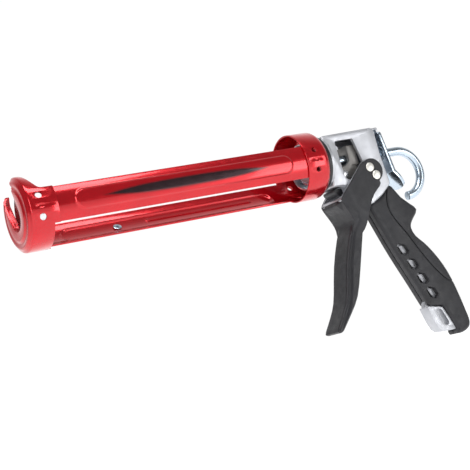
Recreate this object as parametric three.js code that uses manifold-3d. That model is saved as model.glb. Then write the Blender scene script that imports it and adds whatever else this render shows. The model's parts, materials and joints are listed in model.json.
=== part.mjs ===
// A skeleton-barrel caulking gun, in millimetres.
// +X runs along the barrel towards the nozzle end, +Z is up and the handle hangs towards -Z.
// The origin is the middle of the plunger's front face, on the barrel's axis.
// Side-view outlines are [x, z] with x measured from the front edge of the barrel's rear ring.

import * as THREE from 'three';
import { mergeVertices } from 'three/addons/utils/BufferGeometryUtils.js';
import Module from 'manifold-3d';

const wasm = await Module();
wasm.setup();

// ---- driving dimensions ----

const RING_TO_PLUNGER = 240;
const SWIVEL = THREE.MathUtils.degToRad(22.5);
const GAP = 0.3;

// sheet-metal barrel: nose cap, two rails, rear ring
const BARREL_R = 29;
const SHEET = 1.2;
const NOSE_FACE = 248;
const CAP_TAB_END = 223;
const CAP_SKIRT_END = 227.5;
const SLOT_LIP = 5;
const RAIL_R = 27.6;
const RAIL_HALF_ANGLE = THREE.MathUtils.degToRad(29.3);
const RAIL_TURN = THREE.MathUtils.degToRad(22.5);
const RAIL_ANGLES = [-RAIL_TURN, Math.PI + RAIL_TURN];
const RAIL_FRONT = 238;
const RAIL_REAR = -17;
const PANEL_RISE = 1.2;
const PANEL_FRONT = 209;
const PANEL_REAR = 14;
const PANEL_HALF_WIDTH = 8.4;
const RING_WALL_X = -22.2;
const SPIGOT_R = 13.5;
const TAB_HOLE_TURN = THREE.MathUtils.degToRad(17);
const PIERCER_X = 160;
const PIERCER_LENGTH = 84;
const PIERCER_R = 30.3;

// rod and plunger
const ROD_R = 4;
const ROD_CLEAR_R = 4.3;
const PLUNGER_R = 22.5;
const HUB_LENGTH = 15;
const HOOK_START = -113;
const HOOK_R = 20.7;

// frame, trigger and handle
const WALL_OUT = 14;
const WALL_IN = 11;
const PIVOT = [-72.9, -20.2];
const DRIVE_PIN = [4.6, 7.6];
const LINK_PIN = [-47.5, -13.5];
const PIN_R = 2.6;
const PIN_HOLE_R = 2.9;
const CHEEK_IN = 14.4;
const CHEEK_OUT = 15.9;
const COVER_OUT = 17.6;
const FORK_R = 42;
const BLADE_HALF = 12;
const CORE_HALF = 3;
const END_HALF = 6;
const GRIP_HALF = 8.5;
const GRIP_ROUND = 2;

// release plate
const RELEASE_HINGE = [-90.5, 20];
const RELEASE_LEAN = THREE.MathUtils.degToRad(9);
const THUMB_BEND = THREE.MathUtils.degToRad(28);
const RELEASE_THICK = 3;

// ---- materials ----

const paint = (color, roughness, metalness) => new THREE.MeshStandardMaterial({ color, roughness, metalness });
const red = () => paint(0xd01424, 0.2, 0.35);
const castMetal = () => paint(0xd9dadd, 0.4, 0.85);
const zinc = () => paint(0xa9b4bf, 0.25, 0.95);
const sintered = () => paint(0x6b6763, 0.55, 0.8);
const steel = () => paint(0xb9bcc0, 0.3, 0.95);
const rivetSteel = () => paint(0xe6e0d4, 0.45, 0.7);
const brass = () => paint(0xb08d57, 0.4, 0.9);
const blackPlastic = () => paint(0x17181b, 0.5, 0);
const softGrip = () => paint(0x2b2b31, 0.65, 0);

// ---- solids ----

// a closed solid from any closed geometry
function solid(geometry) {
  const bare = geometry.clone();
  bare.deleteAttribute('normal');
  bare.deleteAttribute('uv');
  const merged = mergeVertices(bare, 1e-4);
  const corners = merged.index.array;
  const kept = [];
  for (let i = 0; i < corners.length; i += 3) {
    const [a, b, c] = [corners[i], corners[i + 1], corners[i + 2]];
    if (a !== b && b !== c && c !== a) kept.push(a, b, c);
  }
  return new wasm.Manifold(new wasm.Mesh({
    numProp: 3,
    vertProperties: new Float32Array(merged.attributes.position.array),
    triVerts: new Uint32Array(kept),
  }));
}

function joined(first, ...others) {
  return others.reduce((sum, other) => sum.add(other), first);
}

function cut(body, ...tools) {
  return tools.reduce((rest, tool) => rest.subtract(tool), body);
}

function geometryOf(body) {
  const { vertProperties, triVerts } = body.getMesh();
  const geometry = new THREE.BufferGeometry();
  geometry.setAttribute('position', new THREE.BufferAttribute(vertProperties, 3));
  geometry.setIndex(new THREE.BufferAttribute(triVerts, 1));
  return geometry;
}

function piece(name, body, material) {
  const geometry = geometryOf(body);
  geometry.computeVertexNormals();
  const mesh = new THREE.Mesh(geometry, material);
  mesh.name = name;
  return mesh;
}

// a polygon whose corners are [x, y] or [x, y, rounding length]
function outline(corners) {
  const shape = new THREE.Shape();
  const points = corners.map(([x, y]) => new THREE.Vector2(x, y));
  corners.forEach(([, , round = 0], i) => {
    const here = points[i];
    const before = points[(i + corners.length - 1) % corners.length];
    const after = points[(i + 1) % corners.length];
    const reach = (end) => Math.min(round, here.distanceTo(end) * 0.48);
    const start = here.clone().add(before.clone().sub(here).setLength(reach(before)));
    const finish = here.clone().add(after.clone().sub(here).setLength(reach(after)));
    if (i === 0) shape.moveTo(start.x, start.y);
    else shape.lineTo(start.x, start.y);
    if (round > 0) shape.quadraticCurveTo(here.x, here.y, finish.x, finish.y);
  });
  shape.closePath();
  return shape;
}

// a side-view shape spread across Y, grown by `grow` on every side
function acrossY(shape, yLow, yHigh, { grow = 0, segments = 2 } = {}) {
  const geometry = new THREE.ExtrudeGeometry(shape, {
    depth: yHigh - yLow,
    curveSegments: segments,
    bevelEnabled: grow > 0,
    bevelThickness: grow,
    bevelSize: grow,
    bevelSegments: 1,
  });
  return solid(geometry.rotateX(Math.PI / 2).translate(0, yHigh, 0));
}

// the corners of a polygon moved inwards by `distance`
function inset(corners, distance) {
  const points = corners.map(([x, y]) => new THREE.Vector2(x, y));
  const turn = Math.sign(THREE.ShapeUtils.area(points));
  return corners.map(([, , round = 0], i) => {
    const here = points[i];
    const arriving = here.clone().sub(points[(i + corners.length - 1) % corners.length]).normalize();
    const leaving = points[(i + 1) % corners.length].clone().sub(here).normalize();
    const inwards = new THREE.Vector2(-arriving.y - leaving.y, arriving.x + leaving.x);
    const moved = here.clone().addScaledVector(inwards, (turn * distance) / (1 + arriving.dot(leaving)));
    return [moved.x, moved.y, Math.max(0, round - distance)];
  });
}

// a side-view polygon of half width `half` whose long edges are rounded
function roundedAcrossY(corners, half, round, segments = 2) {
  const geometry = new THREE.ExtrudeGeometry(outline(inset(corners, round)), {
    depth: 2 * (half - round),
    curveSegments: segments,
    bevelEnabled: true,
    bevelThickness: round,
    bevelSize: round,
    bevelSegments: 1,
  });
  return solid(geometry.rotateX(Math.PI / 2).translate(0, half - round, 0));
}

// a cross-section in [y, z] spread along X
function alongX(shape, xLow, xHigh, segments = 12) {
  const geometry = new THREE.ExtrudeGeometry(shape, {
    depth: xHigh - xLow, curveSegments: segments, bevelEnabled: false,
  });
  const turn = new THREE.Matrix4().makeBasis(
    new THREE.Vector3(0, 1, 0), new THREE.Vector3(0, 0, 1), new THREE.Vector3(1, 0, 0));
  return solid(geometry.applyMatrix4(turn).translate(xLow, 0, 0));
}

// a profile of [x, r] turned about X, listed rear to front along its outside
function turned(profile, segments = 32) {
  const points = profile.map(([x, r]) => new THREE.Vector2(r, x));
  return solid(new THREE.LatheGeometry(points, segments).rotateZ(-Math.PI / 2));
}

// the same, turned about Y
function turnedAboutY(profile, segments = 16) {
  const points = profile.map(([y, r]) => new THREE.Vector2(r, y));
  return solid(new THREE.LatheGeometry(points, segments));
}

function rod(xLow, xHigh, r, segments = 16) {
  return turned([[xLow, 0], [xLow, r], [xHigh, r], [xHigh, 0]], segments);
}

// a round bar along Y through [x, z]
function crossBar([x, z], r, yLow, yHigh, segments = 16) {
  const geometry = new THREE.CylinderGeometry(r, r, yHigh - yLow, segments);
  return solid(geometry.translate(x, (yLow + yHigh) / 2, z));
}

// an arc of sheet around X
function arcSheet(rIn, rOut, middle, halfAngle, xLow, xHigh, segments = 5) {
  const shape = new THREE.Shape();
  shape.absarc(0, 0, rOut, middle - halfAngle, middle + halfAngle, false);
  shape.absarc(0, 0, rIn, middle + halfAngle, middle - halfAngle, true);
  return alongX(shape, xLow, xHigh, segments);
}

// a slot-shaped prism that points outward from X at `angle`
function radialStadium(xLow, xHigh, halfWidth, rLow, rHigh, angle) {
  const shape = new THREE.Shape();
  shape.absarc(xHigh - halfWidth, 0, halfWidth, -Math.PI / 2, Math.PI / 2, false);
  shape.absarc(xLow + halfWidth, 0, halfWidth, Math.PI / 2, 1.5 * Math.PI, false);
  const geometry = new THREE.ExtrudeGeometry(shape, {
    depth: rHigh - rLow, curveSegments: 4, bevelEnabled: false,
  });
  return solid(geometry.rotateX(Math.PI / 2).translate(0, rHigh, 0).rotateX(angle));
}

function radialHole(x, r, rLow, rHigh, angle) {
  const geometry = new THREE.CylinderGeometry(r, r, rHigh - rLow, 8);
  return solid(geometry.translate(x, (rLow + rHigh) / 2, 0).rotateX(angle));
}

function hexagon(acrossFlats) {
  const shape = new THREE.Shape();
  const corner = acrossFlats / Math.sqrt(3);
  for (let i = 0; i < 6; i++) {
    const angle = (i * Math.PI) / 3;
    shape.lineTo(corner * Math.cos(angle), corner * Math.sin(angle));
  }
  return shape;
}

// round wire along a smooth curve through the points
function wire(points, r, steps, sides = 8) {
  const section = new THREE.Shape().absarc(0, 0, r, 0, 2 * Math.PI, false);
  const path = new THREE.CatmullRomCurve3(points);
  const geometry = new THREE.ExtrudeGeometry(section, {
    steps, extrudePath: path, curveSegments: sides / 2, bevelEnabled: false,
  });
  return solid(geometry);
}

// ---- barrel ----

// the two locating holes and the pressed dimple of a rail joint
function railJoint(x, holeR, angle) {
  return [
    radialHole(x, holeR, 20, 35, angle - TAB_HOLE_TURN),
    radialHole(x, holeR, 20, 35, angle + TAB_HOLE_TURN),
    radialStadium(x - 4.5, x + 4.5, 2, BARREL_R - 0.5, 35, angle),
  ];
}

// the U the nozzle drops into, widened by `grow` and open at the top
function nozzleSlot(xLow, xHigh, grow = 0) {
  const shape = new THREE.Shape();
  const [bottomR, mouthHalf, bottomZ, mouthZ] = [11, 13.5, -1.5, 36];
  shape.absarc(0, bottomZ, bottomR + grow, Math.PI, 2 * Math.PI, false);
  shape.lineTo(mouthHalf + grow, mouthZ);
  shape.lineTo(-mouthHalf - grow, mouthZ);
  return alongX(shape, xLow, xHigh);
}

function noseCap() {
  const inner = BARREL_R - SHEET;
  const shell = turned([
    [CAP_TAB_END, inner], [CAP_TAB_END, BARREL_R], [243.6, BARREL_R], [244.8, 28.3], [245.6, 27],
    [246.6, 26], [247.3, 24.2], [246.8, 21.4], [NOSE_FACE, 19.2], [NOSE_FACE, 0], [NOSE_FACE - 1.3, 0],
    [NOSE_FACE - 1.3, 18.6], [245.6, 20.8], [245.9, 23.6], [245.2, 25], [244.4, 25.9], [242.8, inner],
    [CAP_TAB_END, inner],
  ]);
  const halfTab = THREE.MathUtils.degToRad(29);
  const betweenTabs = Math.PI / 2 - RAIL_TURN - halfTab;
  const skirtCut = arcSheet(20, 35, -Math.PI / 2, betweenTabs, CAP_TAB_END - 5, CAP_SKIRT_END);
  const loadingCut = acrossY(outline([
    [CAP_TAB_END - 8, 3.3], [234, 3.3, 3], [237.5, 10, 8], [240, 18.4, 6], [241.2, 24], [241.6, 40],
    [CAP_TAB_END - 8, 40],
  ]), -40, 40);
  const joints = RAIL_ANGLES.flatMap((angle) => railJoint(236.2, 2.7, angle));
  const lip = nozzleSlot(NOSE_FACE - SLOT_LIP, NOSE_FACE - 0.6, SHEET).intersect(rod(220, 250, 21.4, 32));
  const slot = nozzleSlot(CAP_SKIRT_END, NOSE_FACE + 5);
  return piece('nose_cap', cut(joined(shell, lip), skirtCut, loadingCut, slot, ...joints), red());
}

function rail(name, angle) {
  const sheet = arcSheet(RAIL_R - SHEET, RAIL_R, angle, RAIL_HALF_ANGLE, RAIL_REAR, RAIL_FRONT);
  const band = arcSheet(RAIL_R - SHEET - 1, RAIL_R + PANEL_RISE, angle, RAIL_HALF_ANGLE * 0.8, 0, 220);
  const dish = arcSheet(RAIL_R - SHEET - 2, RAIL_R, angle, RAIL_HALF_ANGLE * 0.8, 0, 220);
  const raised = band.intersect(
    radialStadium(PANEL_REAR, PANEL_FRONT, PANEL_HALF_WIDTH, 20, 35, angle));
  const hollow = dish.intersect(
    radialStadium(PANEL_REAR + SHEET, PANEL_FRONT - SHEET, PANEL_HALF_WIDTH - SHEET, 20, 35, angle));
  const holes = [
    radialHole(-9.7, 2.5, 20, 35, angle - TAB_HOLE_TURN),
    radialHole(-9.7, 2.5, 20, 35, angle + TAB_HOLE_TURN),
    radialHole(235.4, 2.9, 20, 35, angle - TAB_HOLE_TURN),
    radialHole(235.4, 2.9, 20, 35, angle + TAB_HOLE_TURN),
  ];
  const pinHole = radialHole(PIERCER_X, 2.3, 20, 35, RAIL_ANGLES[1]);
  return piece(name, cut(joined(sheet, raised), hollow, pinHole, ...holes), red());
}

function rearRing() {
  const inner = BARREL_R - SHEET;
  const wallR = SPIGOT_R + 0.5;
  const wallBack = RING_WALL_X - SHEET;
  const shell = turned([
    [wallBack, wallR], [wallBack, 24.8], [-21.6, 27.8], [-18, BARREL_R], [0, BARREL_R],
    [0, inner], [-18.4, inner], [-21, 26.6], [RING_WALL_X, 24.4], [RING_WALL_X, wallR], [wallBack, wallR],
  ]);
  const joints = RAIL_ANGLES.flatMap((angle) => railJoint(-9.7, 2.3, angle));
  return piece('rear_ring', cut(shell, ...joints), red());
}

// the seal-piercing pin folds flat against the lower rail, turning on a hollow rivet
function piercingPin() {
  const eye = turnedAboutY([
    [PIERCER_R - 1, 2.3], [PIERCER_R - 1, 5], [PIERCER_R + 1, 5], [PIERCER_R + 1, 2.3], [PIERCER_R - 1, 2.3],
  ]);
  const shank = turned([
    [-PIERCER_LENGTH, 0], [-PIERCER_LENGTH + 8, 1.05], [-4, 1.05], [-3.4, 0],
  ], 12);
  const pin = joined(eye, solid(geometryOf(shank).translate(0, PIERCER_R, 0)));
  return piece('piercing_pin', pin, zinc());
}

function piercerRivet() {
  const body = turnedAboutY([
    [26.3, 1], [26.3, 3.4], [27.1, 3.4], [27.1, 2], [31.6, 2], [31.6, 3.6], [32.4, 3.2], [32.4, 1], [26.3, 1],
  ], 20);
  return piece('piercer_rivet', body, zinc());
}

function barrel() {
  const group = new THREE.Group();
  group.rotation.x = SWIVEL;
  const piercer = new THREE.Group();
  piercer.rotation.x = RAIL_ANGLES[1];
  piercer.position.x = PIERCER_X;
  piercer.add(piercingPin(), piercerRivet());
  group.add(
    noseCap(), rail('near_rail', RAIL_ANGLES[0]), rail('lower_rail', RAIL_ANGLES[1]), rearRing(), piercer);
  return group;
}

// ---- swivel joint between barrel and frame ----

function swivelRetainer() {
  const bottom = RING_WALL_X + GAP;
  return piece('swivel_retainer', turned([
    [bottom, SPIGOT_R + GAP], [bottom, 19.3], [bottom + 0.6, 20], [-12, 20], [-12, 18.8],
    [bottom + 1.9, 18.8], [bottom + 1.2, 18], [bottom + 1.2, SPIGOT_R + GAP], [bottom, SPIGOT_R + GAP],
  ]), steel());
}

function swivelNut() {
  const ring = alongX(hexagon(29.6), -20.4, -15.4);
  return piece('swivel_nut', cut(ring, rod(-25, -10, SPIGOT_R + GAP, 32)), zinc());
}

function collar() {
  return piece('collar', turned([
    [-27.7, SPIGOT_R + GAP], [-27.7, 23.6], [-26.9, 24.4], [-23.7, 24.4], [-23.7, SPIGOT_R + GAP],
    [-27.7, SPIGOT_R + GAP],
  ], 32), blackPlastic());
}

function rodBush() {
  return piece('rod_bush', turned([
    [-30, ROD_CLEAR_R], [-30, 7.2], [-13.2, 7.2], [-13.2, 9.5], [-11.8, 9.5], [-11.8, ROD_CLEAR_R],
    [-30, ROD_CLEAR_R],
  ], 24), brass());
}

// ---- frame and handle ----

const HANDLE_OUTLINE = [
  [-64.6, -44.6, 4], [-66.8, -50.5, 6], [-73.4, -70.8, 20], [-80.2, -90.6, 20], [-90.1, -114.9, 20],
  [-99.9, -140.5, 3], [-114.2, -143.6, 4], [-122.4, -166, 4], [-120.6, -171.4, 5], [-130.5, -170.4, 5],
  [-138, -167.2, 6], [-139.3, -161, 5], [-136, -140.2, 14],
  [-132.4, -122.7, 14], [-127.5, -108.8, 14], [-120.3, -96, 14], [-112.7, -85.4, 8], [-105, -78.5, 8],
  [-102.2, -70, 7], [-105.6, -65, 6], [-116.6, -55.4, 5], [-107.8, -48.4, 6], [-100.8, -42, 3],
  [-92.6, -29.4, 3], [-86.4, -31.4, 5], [-78.6, -38.4, 6], [-71, -41.4, 5],
];

const STRAP_OUTLINE = [
  [-90.5, -24], [-85.4, -36, 5], [-83, -46, 6], [-84.7, -55.2, 8], [-90.5, -65.8, 8], [-96, -74.5, 10],
  [-104.3, -91.7, 14], [-115, -110, 14], [-127, -124, 6], [-145, -126], [-145, -24],
];

const CORE_OUTLINE = [
  [-66, -40], [-68.6, -50.4, 6], [-75.6, -71.4, 20], [-82.4, -91.4, 20], [-92.4, -116, 20], [-99.8, -136, 3],
  [-97.6, -141.4, 1], [-101.6, -158, 8], [-106.5, -165.6, 5], [-122.4, -166.4, 2], [-130.5, -163, 6],
  [-131, -141, 14], [-127.6, -124, 14], [-123, -111.5, 14], [-116, -99, 14], [-108.5, -88.5, 8],
  [-100, -80, 8], [-97, -70, 8], [-99, -62, 6], [-98.4, -50, 6], [-92, -36, 4], [-88.4, -26],
];

const END_OUTLINE = [
  [-97.6, -141.4, 1], [-101.6, -158, 8], [-106.5, -165.6, 5], [-121.9, -166.3, 1.5], [-120.4, -161, 3],
  [-113.8, -144.3, 3],
];

const GRIP_HOLE = [
  [6.4, 6, 4], [-1.8, 5.6, 5], [-5.5, 0.6, 4], [-6.4, -5.7, 4], [1.2, -5.2, 5], [4.4, -1, 4],
];
const FIRST_GRIP_HOLE = [-87, -87.7];
const GRIP_HOLE_STEP = [-6.23, -14.2];
const GRIP_HOLE_COUNT = 4;

function gripHoles(scale) {
  const holes = [];
  for (let i = 0; i < GRIP_HOLE_COUNT; i++) {
    const x = FIRST_GRIP_HOLE[0] + i * GRIP_HOLE_STEP[0];
    const z = FIRST_GRIP_HOLE[1] + i * GRIP_HOLE_STEP[1];
    const corners = GRIP_HOLE.map(([dx, dz, round]) => [x + scale * dx, z + scale * dz, round]);
    holes.push(acrossY(outline(corners), -20, 20, { segments: 1 }));
  }
  return holes;
}

// the path of the drive pin about the trigger pivot, as a slot through both walls
function drivePinSlot() {
  const [inner, outer] = [6, 11.8];
  const [low, high] = [THREE.MathUtils.degToRad(16), THREE.MathUtils.degToRad(78)];
  const shape = new THREE.Shape();
  shape.absarc(...PIVOT, outer, low, high, false);
  shape.absarc(...PIVOT, inner, high, low, true);
  return acrossY(shape, -20, 20, { segments: 6 });
}

function handleCore() {
  const plate = acrossY(outline(CORE_OUTLINE), -CORE_HALF, CORE_HALF);
  const end = acrossY(outline(END_OUTLINE), -END_HALF, END_HALF);
  const lanyardSlot = acrossY(outline([
    [-105.6, -144.4, 3], [-111.8, -145.4, 3], [-117.4, -160.6, 3], [-111.6, -161.6, 3],
  ]), -20, 20);
  return cut(joined(plate, end), lanyardSlot, ...gripHoles(1.12));
}

function frame() {
  const spigot = turned([
    [-31, 0], [-31, 22.5], [-28, 22.5], [-28, SPIGOT_R], [-14.1, SPIGOT_R], [-13.5, SPIGOT_R - 0.6], [-13.5, 0],
  ]);
  const body = roundedAcrossY([
    [-29.8, 21.6, 2], [-83.5, 22.6, 3], [-86, 20, 3], [-86, -2, 4], [-88.6, -29, 3], [-84.8, -32, 2],
    [-77.8, -37.4, 3], [-70.4, -41.2, 3], [-63.2, -44.4, 3], [-57, -38, 6], [-41, -24.2, 4], [-29.8, -23.4, 2],
  ], WALL_OUT, 1.2);
  const lip = acrossY(outline([
    [-82, 20], [-82, 23], [-94.4, 23, 1], [-94.4, 18.6, 0.6], [-93, 18.6], [-93, 21.6], [-86.4, 21.6],
    [-86.4, 20],
  ]), -7, 7);
  const cavity = acrossY(outline([
    [-37.5, 18.8, 3], [-80.5, 18.8, 3], [-82, -2, 4], [-84, -25, 3], [-81, -29.6, 3], [-66, -39, 3],
    [-60.5, -36, 4], [-42, -21, 4], [-37.5, -19.6, 3],
  ]), -WALL_IN, WALL_IN);
  const windows = acrossY(outline([
    [-41.5, 15.5, 2], [-60.6, 15.5, 1], [-65.4, -5, 3], [-65, -21, 4], [-58, -23, 4], [-43, -18.6, 4],
  ]), -20, 20);
  const bores = [
    rod(-30.3, -10, 7.5), rod(-40, -25, 4.7), rod(-95, -78, 4.7), crossBar(PIVOT, PIN_HOLE_R, -20, 20),
  ];
  const casting = cut(joined(spigot, body, lip), cavity, windows, drivePinSlot(), ...bores);
  return piece('frame', joined(casting, handleCore()), castMetal());
}

function triggerStop() {
  const block = roundedAcrossY([
    [-31.3, -24.9, 2], [-40.4, -25, 2], [-41, -31.6, 2], [-36, -32, 2], [-31.3, -28, 2],
  ], 9, 0.8);
  return piece('trigger_stop', block, blackPlastic());
}

function handleSkin() {
  const body = roundedAcrossY(HANDLE_OUTLINE, GRIP_HALF, GRIP_ROUND);
  const core = acrossY(outline(CORE_OUTLINE), -CORE_HALF, CORE_HALF, { grow: GAP });
  const end = acrossY(outline(END_OUTLINE), -END_HALF, END_HALF, { grow: GAP });
  return cut(body, core, end);
}

function gripShell(name, side) {
  const strapRoom = acrossY(outline(STRAP_OUTLINE), -20, 20, { grow: GAP });
  const half = solid(new THREE.BoxGeometry(200, 40, 300).translate(-100, side * 20.15, -100));
  const shell = cut(handleSkin().intersect(half), strapRoom, ...gripHoles(1));
  return piece(name, shell, softGrip());
}

function backStrap() {
  const region = acrossY(outline(STRAP_OUTLINE), -20, 20);
  return piece('back_strap', handleSkin().intersect(region), softGrip());
}

// ---- trigger, measured from its pivot ----

const LOBE_MIDDLE = [2.5, 4.5];
const LOBE_R = 10.8;

// a round lobe round both pins, then the corners in order from its front to its back
function lobedOutline(radius, corners) {
  const shape = outline([...corners, [...LOBE_MIDDLE]]);
  const lobe = new THREE.Shape().absarc(...LOBE_MIDDLE, radius, 0, 2 * Math.PI, false);
  return [shape, lobe];
}

const CHEEK_CORNERS = [
  [9.5, 15.1, 4], [24.7, 1.1, 4], [38, -11, 4], [42.4, -15.4, 3], [38.6, -23, 5], [34.6, -31, 4],
  [33.4, -38, 5], [37, -46, 6], [34, -54, 4], [24, -44, 6], [13.5, -24.1, 10], [7.2, -15.9, 6],
  [-4, -8.1, 4],
];
const CORE_CORNERS = [
  [9.2, 14.9, 3], [24.5, 1, 4], [37.8, -11.1, 3], [41.4, -15, 1.4], [37.2, -22.6, 4], [33, -29.4, 3],
  [28.4, -34.6, 2], [20.6, -38.8, 3], [14.6, -25.6, 8], [8, -16.6, 4], [-2.6, -7.4, 2],
];
const BLADE_OUTLINE = [
  [39, -13.4, 3], [44.4, -18.6, 3], [36.5, -25.6, 6], [32.2, -35, 7], [38.9, -46, 12], [49.4, -69, 16],
  [56.5, -93, 16], [61.4, -104.3, 10], [77, -125.4, 4], [69.4, -124.4, 4], [55.9, -110.4, 14],
  [45.9, -99.1, 14], [37.2, -78.6, 16], [20.8, -37.4, 4], [28, -28, 3],
];
const TONGUE_OUTLINE = [
  [31, -30.8, 1], [31.4, -39, 4], [35, -45, 6], [45.6, -69, 12], [52.4, -92, 12], [58, -106, 4], [54, -104, 4],
  [47, -94, 12], [40, -76, 12], [28, -46, 4], [25, -36, 1],
];

function lobedBar(radius, corners, yLow, yHigh, grow = 0) {
  const [shape, lobe] = lobedOutline(radius, corners);
  return joined(acrossY(shape, yLow, yHigh, { grow }), acrossY(lobe, yLow, yHigh, { grow, segments: 14 }));
}

function pinHoles() {
  return [crossBar([0, 0], PIN_HOLE_R, -25, 25), crossBar(DRIVE_PIN, PIN_HOLE_R, -25, 25)];
}

function triggerCore() {
  const bracket = lobedBar(LOBE_R - 2, CORE_CORNERS, -CHEEK_OUT, CHEEK_OUT);
  const fork = crossBar([0, 0], FORK_R, -CHEEK_IN, CHEEK_IN, 36);
  const tongue = acrossY(outline(TONGUE_OUTLINE), -4, 4);
  return piece('trigger_core', cut(joined(cut(bracket, fork), tongue), ...pinHoles()), castMetal());
}

function triggerCover() {
  const cheeks = lobedBar(LOBE_R, CHEEK_CORNERS, -COVER_OUT, COVER_OUT);
  const blade = roundedAcrossY(BLADE_OUTLINE, BLADE_HALF, 1.8);
  const bracketRoom = lobedBar(LOBE_R - 2, CORE_CORNERS, -CHEEK_OUT, CHEEK_OUT, GAP);
  const forkRoom = acrossY(outline([[-30, 40], [-30, -60], [60, -60], [60, 40]]), -CHEEK_OUT, CHEEK_OUT)
    .intersect(crossBar([0, 0], FORK_R + GAP, -20, 20, 36));
  const tongueRoom = acrossY(outline(TONGUE_OUTLINE), -4, 4, { grow: GAP });
  const cover = cut(joined(cheeks, blade), bracketRoom, forkRoom, tongueRoom, ...pinHoles());
  return piece('trigger_cover', cover, softGrip());
}

function headedPin(name, r) {
  const body = turnedAboutY([
    [-19.2, 0], [-19.2, 3.3], [-18.6, 4], [-17.9, 4], [-17.9, r], [17.9, r], [17.9, 4], [18.6, 4], [19.2, 3.3],
    [19.2, 0],
  ]);
  return piece(name, body, rivetSteel());
}

function triggerSpring() {
  const [coilR, wireR, firstY, lastY, turns, perTurn] = [4.1, 0.65, 4.9, 9.9, 3.25, 8];
  const points = [new THREE.Vector3(-8, firstY - 0.2, -4.2), new THREE.Vector3(-4, firstY - 0.1, -4.2)];
  const count = turns * perTurn;
  for (let i = 0; i <= count; i++) {
    const angle = -Math.PI / 2 + (i / perTurn) * 2 * Math.PI;
    const y = firstY + ((lastY - firstY) * i) / count;
    points.push(new THREE.Vector3(coilR * Math.cos(angle), y, coilR * Math.sin(angle)));
  }
  points.push(new THREE.Vector3(6, lastY + 0.05, 3), new THREE.Vector3(8.6, lastY + 0.05, 6.8));
  return piece('trigger_spring', wire(points, wireR, 44, 6), steel());
}

function trigger() {
  const group = new THREE.Group();
  group.position.set(PIVOT[0], 0, PIVOT[1]);
  const drivePin = headedPin('drive_pin', 2.4);
  drivePin.position.set(DRIVE_PIN[0], 0, DRIVE_PIN[1]);
  group.add(triggerCore(), triggerCover(), headedPin('trigger_pin', PIN_R), drivePin, triggerSpring());
  return group;
}

// ---- feed: the trigger's drive pin pushes a link, which moves the grip block along the rod ----

function gripBlock() {
  const block = roundedAcrossY([[-65, -7], [-56, -7], [-56, 11], [-65, 11]], 9, 0.8);
  const armShape = outline([
    [-61.5, -4, 1], [-56, -2, 2], [-51, -7.4, 4], [-43, -6.4, 7], [-41, -14, 7], [-45, -19.8, 6], [-52, -18, 4],
    [-62, -12, 2],
  ]);
  const arms = cut(acrossY(armShape, -8.2, 8.2), acrossY(armShape, -4.2, 4.2, { grow: 1 }));
  const bores = [rod(-80, -30, ROD_CLEAR_R + 0.1), crossBar(LINK_PIN, 2.8, -20, 20)];
  return piece('grip_block', cut(joined(arms, block), ...bores), sintered());
}

function driveLink() {
  const drivePinPlace = [PIVOT[0] + DRIVE_PIN[0], PIVOT[1] + DRIVE_PIN[1]];
  const bar = acrossY(outline([
    [drivePinPlace[0], -9.4], [LINK_PIN[0], -10.2], [LINK_PIN[0], -16.8], [drivePinPlace[0], -16],
  ]), -3, 3);
  const ends = [crossBar(drivePinPlace, 4.4, -3.4, 3.4), crossBar(LINK_PIN, 5, -3.4, 3.4)];
  const holes = [crossBar(drivePinPlace, 3.1, -20, 20), crossBar(LINK_PIN, 2.8, -20, 20)];
  return piece('drive_link', cut(joined(bar, ...ends), ...holes), sintered());
}

function linkPin() {
  const body = turnedAboutY([
    [-9.4, 0], [-9.4, 3.4], [-8.5, 3.4], [-8.5, 2.5], [8.5, 2.5], [8.5, 3.4], [9.4, 3.4], [9.4, 0],
  ], 20);
  const mesh = piece('link_pin', body, steel());
  mesh.position.set(LINK_PIN[0], 0, LINK_PIN[1]);
  return mesh;
}

// ---- release plate and its spring ----

function releasePlate() {
  const half = RELEASE_THICK / 2;
  const main = alongX(outline([
    [-6, 1, 0.6], [-6, -2, 1], [-13.4, -2, 3], [-12.8, -39.5], [12.8, -39.5], [13.4, -2, 3], [6, -2, 1],
    [6, 1, 0.6],
  ]), -half, half, 4);
  const thumb = alongX(outline([[-12.8, 1], [-12.8, -9, 8], [-8, -18.5, 8], [8, -18.5, 8], [12.8, -9, 8],
    [12.8, 1]]), -half, half, 4);
  const bend = solid(geometryOf(thumb).rotateY(THUMB_BEND).translate(0, 0, -39));
  const holeZ = -RELEASE_HINGE[1] / Math.cos(RELEASE_LEAN);
  const hole = solid(new THREE.CylinderGeometry(5.2, 5.2, 10, 20).rotateZ(Math.PI / 2).translate(0, 0, holeZ));
  const mesh = piece('release_plate', cut(joined(main, bend), hole), zinc());
  mesh.position.set(RELEASE_HINGE[0], 0, RELEASE_HINGE[1]);
  mesh.rotation.y = RELEASE_LEAN;
  return mesh;
}

function brakeSpring() {
  const [coilR, wireR, rearX, frontX, turns, perTurn] = [6.4, 0.6, -90, -87.1, 2, 8];
  const points = [];
  for (let i = 0; i <= turns * perTurn; i++) {
    const angle = (i / perTurn) * 2 * Math.PI;
    const x = frontX + ((rearX - frontX) * i) / (turns * perTurn);
    points.push(new THREE.Vector3(x, coilR * Math.cos(angle), coilR * Math.sin(angle)));
  }
  return piece('brake_spring', wire(points, wireR, 26, 6), steel());
}

// ---- rod and plunger ----

function rodShank() {
  const rear = HOOK_START + GAP;
  return piece('rod', turned([
    [rear, 0], [rear, ROD_R], [RING_TO_PLUNGER - 4.4, ROD_R], [RING_TO_PLUNGER - 3.4, ROD_R - 1],
    [RING_TO_PLUNGER - 3.4, 0],
  ], 16), zinc());
}

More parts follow.
